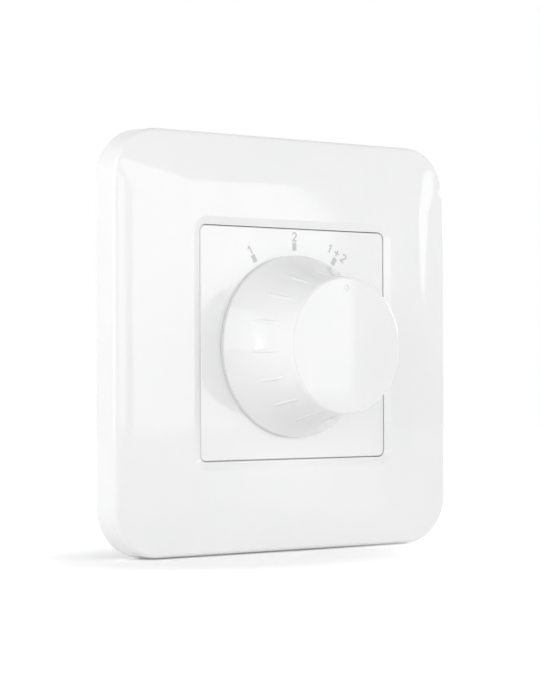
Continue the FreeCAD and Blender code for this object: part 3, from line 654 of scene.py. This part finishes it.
def screw_heads():
    """Slotted heads and threads in place of the plain terminal screws."""
    heads = Shape()
    low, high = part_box("terminal_screws")
    head_back = high.y
    profile = screw_profile(low.y, head_back - HEAD_HEIGHT, head_back)
    for x, z in island_places("terminal_screws"):
        heads.lathe(profile, (x, z), sides=24)
        for side in (-1, 1):
            outline = slot_side(side)
            rolled = [(px * HEAD_ROLL_SCALE, pz * HEAD_ROLL_SCALE) for px, pz in outline]
            for ring, bottom, top in (
                (outline, head_back - SLOT_DEPTH, head_back - HEAD_ROLL),
                (rolled, head_back - HEAD_ROLL, head_back),
            ):
                heads.prism([(x + px, z + pz) for px, pz in ring], bottom, top)
    piece = mesh_piece("slotted_screws", heads, "plate", "zinc_steel")
    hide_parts("terminal_screws")


wire_spots = island_places("front_link_wires") + island_places("rear_link_wires")
pin_spots = island_places("wire_clamps")
bead_piece("wire_solder", WIRE_BEAD, BOARD_BACK, wire_spots)
bead_piece("pin_solder", PIN_BEAD, BOARD_FRONT, pin_spots)
tail_beads("front_beads", "front_link_wires")
tail_beads("rear_beads", "rear_link_wires")
resist_lines(wire_spots, pin_spots)
screw_heads()


# Floor and backdrop


FLOOR_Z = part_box("outer_frame")[0][2]
FLOOR_GAP = 0.02 * MM
FLOOR_REACH = 1.0
FLOOR_SIDES = 96
FLOOR_LOW = (0.97, 0.97, 0.97)
FLOOR_HIGH = (0.98, 0.98, 0.98)

# The floor glows a little to the eye, and less near the object: painted shadow there, which deepens
# its real shadow.
PAINTED_SHADOW_MIDDLE = (-0.012, -0.009)
SHADOW_STRETCH = (1.1, 1.5, 1.0)
PAINTED_SHADOW_START = 0.02
PAINTED_SHADOW_END = 0.07
PAINTED_SHADOW_GLOW = 0.15
OPEN_GLOW = 0.55

# As a light, the sky is brightest low down and dims with height.
SKY_LOW_Z = -0.2
SKY_HIGH_Z = 0.8
SKY_LOW_STRENGTH = 1.83
SKY_HIGH_STRENGTH = 0.26
SKY_WHITE = (1.0, 1.0, 1.0, 1.0)


def floor():
    mesh = bpy.data.meshes.new("floor")
    rim = [2 * math.pi * side / FLOOR_SIDES for side in range(FLOOR_SIDES)]
    points = [(FLOOR_REACH * math.cos(angle), FLOOR_REACH * math.sin(angle), 0) for angle in rim]
    mesh.from_pydata(points, [], [list(range(FLOOR_SIDES))])
    ground = bpy.data.objects.new("floor", mesh)
    ground.location = (*PAINTED_SHADOW_MIDDLE, FLOOR_Z - FLOOR_GAP)
    bpy.context.scene.collection.objects.link(ground)
    material, nodes, links = new_material("floor")
    nodes.remove(nodes["Principled BSDF"])
    matte = nodes.new("ShaderNodeBsdfDiffuse")
    place = place_node(nodes, links, SHADOW_STRETCH)
    cloud = noise_node(nodes, links, place, 60 * MM)
    links.new(ramp_node(nodes, links, cloud, FLOOR_LOW, FLOOR_HIGH), matte.inputs["Color"])
    glow = nodes.new("ShaderNodeEmission")
    length = nodes.new("ShaderNodeVectorMath")
    length.operation = "LENGTH"
    links.new(place, length.inputs[0])
    # Painted shadow: the glow is dimmed near the object, so the floor there looks shaded.
    spread = range_node(
        nodes, links, length.outputs["Value"], PAINTED_SHADOW_GLOW, OPEN_GLOW,
        PAINTED_SHADOW_START, PAINTED_SHADOW_END, "SMOOTHSTEP",
    )
    strength = math_node(nodes, links, "MULTIPLY", seen_node(nodes, links), spread)
    links.new(strength, glow.inputs["Strength"])
    both = nodes.new("ShaderNodeAddShader")
    links.new(matte.outputs[0], both.inputs[0])
    links.new(glow.outputs[0], both.inputs[1])
    links.new(both.outputs[0], nodes["Material Output"].inputs["Surface"])
    mesh.materials.append(material)


def backdrop():
    """A white backdrop to the eye, and a softer sky that is dimmer overhead as light."""
    world = bpy.data.worlds.new("studio")
    bpy.context.scene.world = world
    world.use_nodes = True
    nodes, links = world.node_tree.nodes, world.node_tree.links
    nodes.clear()
    where = nodes.new("ShaderNodeTexCoord")
    split = nodes.new("ShaderNodeSeparateXYZ")
    links.new(where.outputs["Generated"], split.inputs[0])
    strength = range_node(
        nodes, links, split.outputs["Z"], SKY_LOW_STRENGTH, SKY_HIGH_STRENGTH,
        SKY_LOW_Z, SKY_HIGH_Z,
    )
    sky = nodes.new("ShaderNodeBackground")
    sky.inputs["Color"].default_value = SKY_WHITE
    links.new(strength, sky.inputs["Strength"])
    white = nodes.new("ShaderNodeBackground")
    white.inputs["Color"].default_value = SKY_WHITE
    mix = nodes.new("ShaderNodeMixShader")
    links.new(seen_node(nodes, links), mix.inputs[0])
    links.new(sky.outputs[0], mix.inputs[1])
    links.new(white.outputs[0], mix.inputs[2])
    out = nodes.new("ShaderNodeOutputWorld")
    links.new(mix.outputs[0], out.inputs["Surface"])


# Lamps and camera


# Name, azimuth and elevation in degrees, distance, width, height, radiance and shape.
LAMPS = [
    ("key_box", 21.75, 3.75, 1.2, 0.72, 0.63, 1.7, "RECTANGLE"),
    ("fill_box", -3, 3, 1.2, 0.22, 0.5, 1.8, "RECTANGLE"),
    ("left_box", -92, 12, 1.1, 1.1, 1.2, 1.28, "RECTANGLE"),
    ("left_lamp", -107, 3, 1.2, 0.1, 0.24, 5.0, "RECTANGLE"),
    ("right_strip", 60, 10.5, 1.1, 0.15, 0.3, 1.45, "ELLIPSE"),
    ("right_wide", 72, 11, 1.1, 0.12, 0.16, 1.7, "ELLIPSE"),
    ("edge_lamp", 105, 10.5, 1.2, 0.5, 0.24, 5.5, "RECTANGLE"),
]

CAMERA_PLACE = (-0.25, -0.3369, -0.0069)
CAMERA_HEADING = (0.5955, 0.8033)
CAMERA_TILT = math.radians(0.79)
CAMERA_ROLL = math.radians(-0.18)
SENSOR_WIDTH = 36.0
LENS = 108.4
CLIP_START = 0.01
CLIP_END = 20.0


def toward(azimuth, elevation, distance):
    """A place seen from the object: azimuth from -Y towards +X, and height above level."""
    turn, rise = math.radians(azimuth), math.radians(elevation)
    return (
        distance * math.sin(turn) * math.cos(rise),
        -distance * math.cos(turn) * math.cos(rise),
        distance * math.sin(rise),
    )


def softbox(name, place, width, height, radiance, shape):
    """A lamp that faces the object.

    A rectangle's face has that radiance, where 1 is white. An ellipse is brighter, by 4 / pi,
    since it gives the same power from a smaller face.
    """
    lamp = bpy.data.lights.new(name, "AREA")
    lamp.shape = shape
    lamp.size = width
    lamp.size_y = height
    lamp.energy = radiance * math.pi * width * height
    holder = bpy.data.objects.new(name, lamp)
    holder.location = place
    holder.rotation_mode = "QUATERNION"
    holder.rotation_quaternion = (-Vector(place)).to_track_quat("-Z", "Y")
    bpy.context.scene.collection.objects.link(holder)


def lights():
    for name, azimuth, elevation, distance, width, height, radiance, shape in LAMPS:
        place = toward(azimuth, elevation, distance)
        softbox(name, place, width, height, radiance, shape)


def camera():
    """The photograph's view, from the left and level with the plate."""
    data = bpy.data.cameras.new("camera")
    data.sensor_width = SENSOR_WIDTH
    data.lens = LENS
    data.clip_start = CLIP_START
    data.clip_end = CLIP_END
    holder = bpy.data.objects.new("camera", data)
    holder.location = CAMERA_PLACE
    level = math.cos(CAMERA_TILT)
    look = Vector((CAMERA_HEADING[0] * level, CAMERA_HEADING[1] * level, math.sin(CAMERA_TILT)))
    roll = Matrix.Rotation(CAMERA_ROLL, 4, "Z")
    holder.rotation_mode = "QUATERNION"
    holder.rotation_quaternion = (
        look.to_track_quat("-Z", "Y").to_matrix().to_4x4() @ roll
    ).to_quaternion()
    bpy.context.scene.collection.objects.link(holder)
    bpy.context.scene.camera = holder


floor()
backdrop()
lights()
camera()
bpy.context.scene.view_settings.view_transform = "Standard"
